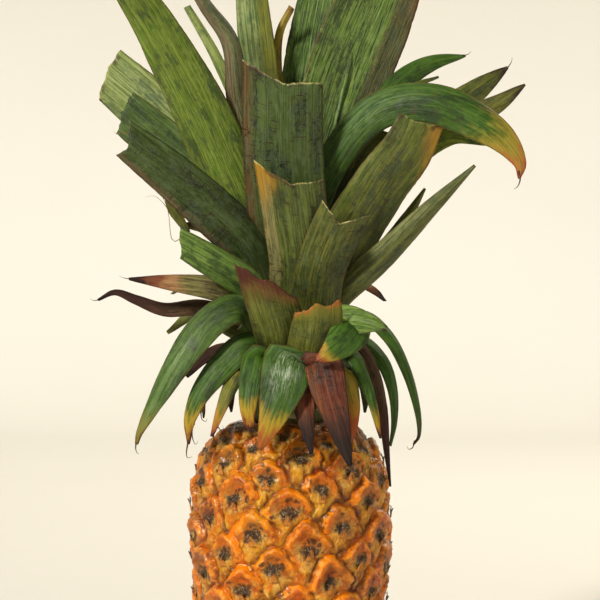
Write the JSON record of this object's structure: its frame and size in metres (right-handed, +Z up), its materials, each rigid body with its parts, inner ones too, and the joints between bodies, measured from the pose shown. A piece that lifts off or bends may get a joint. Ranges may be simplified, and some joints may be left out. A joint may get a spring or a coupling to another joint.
{
  "type": "pineapple",
  "caption": "Ripe orange-skinned pineapple standing upright on its flat cut base, with a tall leafy green crown whose leaf ends are trimmed or torn.",
  "frame": {"origin": "centre of the flat cut base of the fruit", "axes": "+Z up along the fruit's long axis towards the crown, +Y away from the picture's camera, +X to the picture's right"},
  "size_m": [0.2285, 0.1618, 0.4214],
  "materials": {
    "fruit_skin": "waxy, slightly glossy",
    "crown_leaf": "waxy, satin"
  },
  "bodies": {
    "root": {"fruit": "fruit_skin", "crown": "crown_leaf"}
  },
  "joints": []
}
